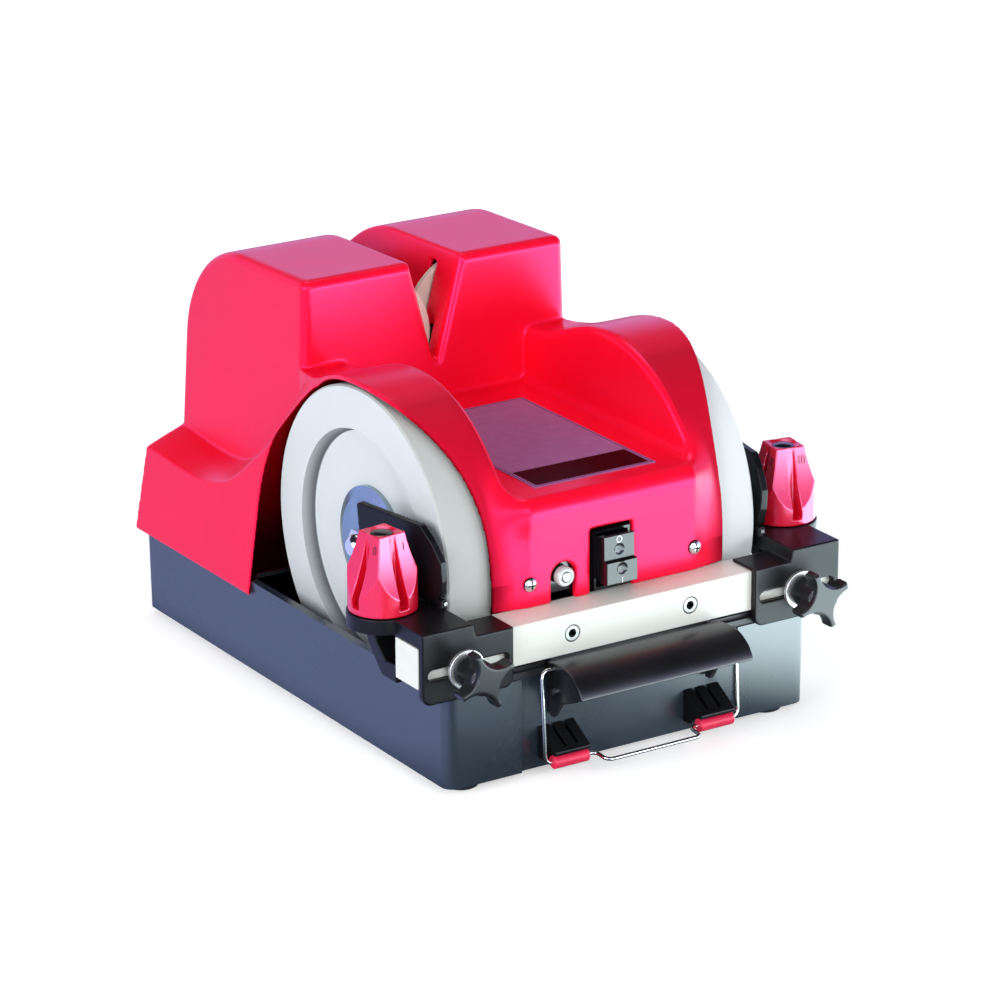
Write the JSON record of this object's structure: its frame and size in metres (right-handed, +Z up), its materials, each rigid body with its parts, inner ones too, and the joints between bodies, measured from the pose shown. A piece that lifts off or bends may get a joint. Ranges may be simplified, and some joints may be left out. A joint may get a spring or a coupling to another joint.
{
  "type": "knife sharpening machine",
  "caption": "Table-top wet grinding machine for knives with side wheels, blade guides, a honing notch and a water tub held by a front latch.",
  "frame": {"origin": "middle of the standing area, on the table, below the middle of the bounding box", "axes": "+Z up, +Y from the switch side to the rear, +X to the right seen from the switch side"},
  "size_m": [0.3368, 0.4288, 0.2599],
  "materials": {
    "cover_red": "satin, moulded",
    "tub_black": "smooth",
    "foot_rubber": "matt",
    "plate_dark": "powder coated",
    "label_grey": "printed film",
    "bar_light": "drawn, anodised",
    "screw_steel": "machined",
    "motor_grey": "painted casting",
    "pulley_metal": "turned",
    "belt_rubber": "matt",
    "stone_white": "fine-grained bonded abrasive",
    "hone_white": "fine-grained",
    "hub_grey": "painted",
    "nut_bright": "plated",
    "switch_black": "glossy",
    "button_clear": "glossy",
    "holder_black": "moulded",
    "knob_red": "moulded",
    "star_black": "moulded",
    "wire_bright": "plated wire",
    "sleeve_red": "moulded"
  },
  "bodies": {
    "base": {"water_tub": "tub_black", "rubber_feet": "foot_rubber", "latch_keepers": "tub_black", "chassis": "plate_dark", "top_cover": "cover_red", "data_plate": "label_grey", "cross_bar": "bar_light", "bar_screws": "screw_steel", "cover_screws": "screw_steel", "gear_motor": "motor_grey", "honing_frame": "plate_dark", "switch_body": "switch_black", "reset_collar": "switch_black", "cable_inlet": "holder_black", "latch_bracket": "plate_dark", "latch_pin": "screw_steel", "drive_belt_left": "belt_rubber", "drive_belt_right": "belt_rubber"},
    "wheel_set": {"main_axle": "screw_steel", "wheel_left": "stone_white", "wheel_right": "stone_white", "wheel_flanges_outer": "hub_grey", "wheel_flanges_inner": "hub_grey", "hub_nuts": "nut_bright"},
    "motor_shaft": {"motor_pulley": "pulley_metal"},
    "switch": {"switch_rocker": "switch_black"},
    "reset": {"reset_button": "button_clear"},
    "latch": {"latch_lever": "holder_black"},
    "bail": {"wire_bail": "wire_bright", "bail_sleeves": "sleeve_red"},
    "honing_left": {"honing_disc_left": "hone_white", "honing_shaft_left": "screw_steel", "honing_pulley_left": "pulley_metal"},
    "guide_holder_left": {"bracket_left": "holder_black", "guide_pin_left": "screw_steel"},
    "setting_knob_left": {"adjust_knob_left": "knob_red", "knob_cap_left": "holder_black", "adjust_spindle_left": "screw_steel"},
    "blade_guide_left": {"guide_plate_left": "holder_black"},
    "clamp_left": {"star_knob_left": "star_black", "clamp_screw_left": "screw_steel", "clamp_washer_left": "screw_steel"},
    "honing_right": {"honing_disc_right": "hone_white", "honing_shaft_right": "screw_steel", "honing_pulley_right": "pulley_metal"},
    "guide_holder_right": {"bracket_right": "holder_black", "guide_pin_right": "screw_steel"},
    "setting_knob_right": {"adjust_knob_right": "knob_red", "knob_cap_right": "holder_black", "adjust_spindle_right": "screw_steel"},
    "blade_guide_right": {"guide_plate_right": "holder_black"},
    "clamp_right": {"star_knob_right": "star_black", "clamp_screw_right": "screw_steel", "clamp_washer_right": "screw_steel"}
  },
  "joints": [
    {"name": "axle_spin", "type": "hinge", "parent": "base", "child": "wheel_set", "pos_m": [0, -0.0449, 0.1185], "axis": [1, 0, 0], "continuous": true},
    {"name": "motor_spin", "type": "hinge", "parent": "base", "child": "motor_shaft", "pos_m": [0, 0.1041, 0.1215], "axis": [0, 1, 0], "continuous": true},
    {"name": "power_switch", "type": "hinge", "parent": "base", "child": "switch", "pos_m": [-0.0012, -0.1459, 0.1215], "axis": [1, 0, 0], "range_deg": [0, 14]},
    {"name": "reset_press", "type": "slide", "parent": "base", "child": "reset", "axis": [0, 1, 0], "range_m": [0, 0.0018], "stiffness_N_per_m": 300},
    {"name": "latch_open", "type": "hinge", "parent": "base", "child": "latch", "pos_m": [0, -0.1854, 0.0585], "axis": [1, 0, 0], "range_deg": [0, 80]},
    {"name": "bail_swing", "type": "hinge", "parent": "latch", "child": "bail", "pos_m": [0, -0.1831, 0.0719], "axis": [1, 0, 0], "range_deg": [-100, 0]},
    {"name": "honing_spin_left", "type": "hinge", "parent": "base", "child": "honing_left", "pos_m": [-0.04, 0.0701, 0.207], "axis": [0, 1, 0], "continuous": true},
    {"name": "holder_slide_left", "type": "slide", "parent": "base", "child": "guide_holder_left", "axis": [-1, 0, 0], "range_m": [-0.0015, 0.022]},
    {"name": "setting_turn_left", "type": "hinge", "parent": "guide_holder_left", "child": "setting_knob_left", "pos_m": [-0.1464, -0.1265, 0.1185], "axis": [0, 0, 1], "range_deg": [-180, 90]},
    {"name": "guide_lean_left", "type": "hinge", "parent": "guide_holder_left", "child": "blade_guide_left", "pos_m": [-0.11675, -0.1429, 0.1135], "axis": [0.1685, -0.9857, 0], "range_deg": [-3.34, 1.67]},
    {"name": "clamp_turn_left", "type": "hinge", "parent": "base", "child": "clamp_left", "pos_m": [-0.122, -0.1949, 0.0842], "axis": [0, 1, 0], "continuous": true},
    {"name": "honing_spin_right", "type": "hinge", "parent": "base", "child": "honing_right", "pos_m": [0.04, 0.0701, 0.207], "axis": [0, 1, 0], "continuous": true},
    {"name": "holder_slide_right", "type": "slide", "parent": "base", "child": "guide_holder_right", "axis": [1, 0, 0], "range_m": [-0.0015, 0.022]},
    {"name": "setting_turn_right", "type": "hinge", "parent": "guide_holder_right", "child": "setting_knob_right", "pos_m": [0.1464, -0.1265, 0.1185], "axis": [0, 0, 1], "range_deg": [0, 270]},
    {"name": "guide_lean_right", "type": "hinge", "parent": "guide_holder_right", "child": "blade_guide_right", "pos_m": [0.11675, -0.1429, 0.1135], "axis": [0.1685, 0.9857, 0], "range_deg": [0, 5.01]},
    {"name": "clamp_turn_right", "type": "hinge", "parent": "base", "child": "clamp_right", "pos_m": [0.122, -0.1949, 0.0842], "axis": [0, 1, 0], "continuous": true}
  ],
  "couplings": [
    {"joint": "motor_spin", "follows": "axle_spin", "ratio": 10},
    {"joint": "bail_swing", "follows": "latch_open", "ratio": -1.25},
    {"joint": "honing_spin_left", "follows": "axle_spin", "ratio": 6},
    {"joint": "guide_lean_left", "follows": "setting_turn_left", "ratio": 0.018519},
    {"joint": "honing_spin_right", "follows": "axle_spin", "ratio": 6},
    {"joint": "guide_lean_right", "follows": "setting_turn_right", "ratio": 0.018519}
  ]
}
